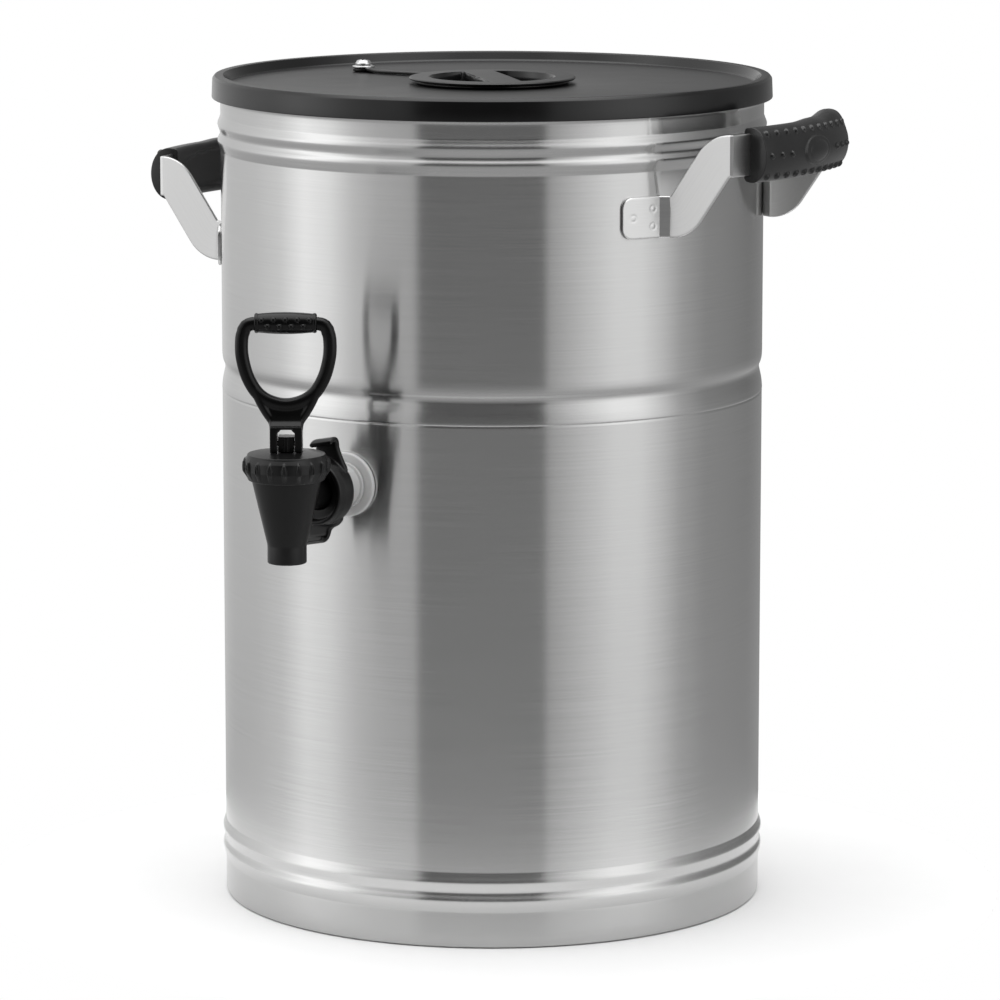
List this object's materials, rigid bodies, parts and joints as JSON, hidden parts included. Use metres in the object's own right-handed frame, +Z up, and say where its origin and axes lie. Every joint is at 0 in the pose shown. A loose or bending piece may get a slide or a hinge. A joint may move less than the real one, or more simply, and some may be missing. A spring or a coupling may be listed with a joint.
{
  "type": "drum beverage dispenser",
  "caption": "Stainless drum drink dispenser on an open skirt, with black lid and tethered cap, rubber-gripped side handles and a D-lever tap.",
  "frame": {"origin": "under the middle of the whole object's box, on the surface that the drum stands on", "axes": "+Z up; the tap faces -Y; the side handles are at +X and -X"},
  "size_m": [0.3706, 0.3538, 0.4198],
  "materials": {
    "brushed_steel": "fine horizontal brushing",
    "bright_steel": "bright zinc or stainless hardware",
    "lid_plastic": "matte moulded with a fine texture",
    "tap_plastic": "semi-gloss moulded",
    "grip_rubber": "matte with small raised pips",
    "silicone": "milky translucent",
    "pale_plastic": "satin"
  },
  "bodies": {
    "container": {"drum_shell": "brushed_steel", "tank_pan": "brushed_steel", "handle_strap_right": "brushed_steel", "handle_strap_left": "brushed_steel", "handle_grip_right": "grip_rubber", "handle_grip_left": "grip_rubber", "shank": "pale_plastic", "shank_nut": "pale_plastic", "outer_washer": "silicone", "inner_washer": "silicone", "inlet_gasket": "silicone", "faucet_body": "tap_plastic"},
    "lid": {"lid": "lid_plastic", "tether_strap": "lid_plastic", "tether_screw": "bright_steel", "tether_washer": "bright_steel", "tether_nut": "bright_steel"},
    "cap": {"centre_cap": "lid_plastic", "tether_ring": "lid_plastic"},
    "wing_nut": {"wing_nut": "tap_plastic"},
    "bonnet": {"bonnet": "tap_plastic"},
    "spring_seat": {"spring": "bright_steel"},
    "stem": {"stem": "tap_plastic", "seat_cup": "silicone", "lever_pin": "bright_steel"},
    "lever": {"lever": "tap_plastic", "lever_grip": "tap_plastic"}
  },
  "joints": [
    {"name": "lid_lift", "type": "slide", "parent": "container", "child": "lid", "axis": [0, 0, 1], "range_m": [0, 0.15]},
    {"name": "cap_lift", "type": "slide", "parent": "lid", "child": "cap", "axis": [0, 0, 1], "range_m": [0, 0.02]},
    {"name": "wing_nut_turn", "type": "hinge", "parent": "container", "child": "wing_nut", "pos_m": [0, -0.1264, 0.228], "axis": [0, -1, 0], "continuous": true},
    {"name": "bonnet_turn", "type": "hinge", "parent": "container", "child": "bonnet", "pos_m": [0, -0.15545, 0.244], "axis": [0, 0, 1], "continuous": true},
    {"name": "lever_swivel", "type": "hinge", "parent": "container", "child": "spring_seat", "pos_m": [0, -0.15545, 0.25], "axis": [0, 0, 1], "continuous": true},
    {"name": "stem_lift", "type": "slide", "parent": "spring_seat", "child": "stem", "axis": [0, 0, 1], "range_m": [0, 0.004], "deforming": ["spring"]},
    {"name": "lever_tilt", "type": "hinge", "parent": "stem", "child": "lever", "pos_m": [0, -0.15545, 0.2554], "axis": [0.8572, 0.515, 0], "range_deg": [0, 40], "stiffness_Nm_per_rad": 0.3, "springref_deg": -5.73}
  ],
  "couplings": [
    {"joint": "stem_lift", "follows": "lever_tilt", "m_per_rad": 0.0055}
  ]
}
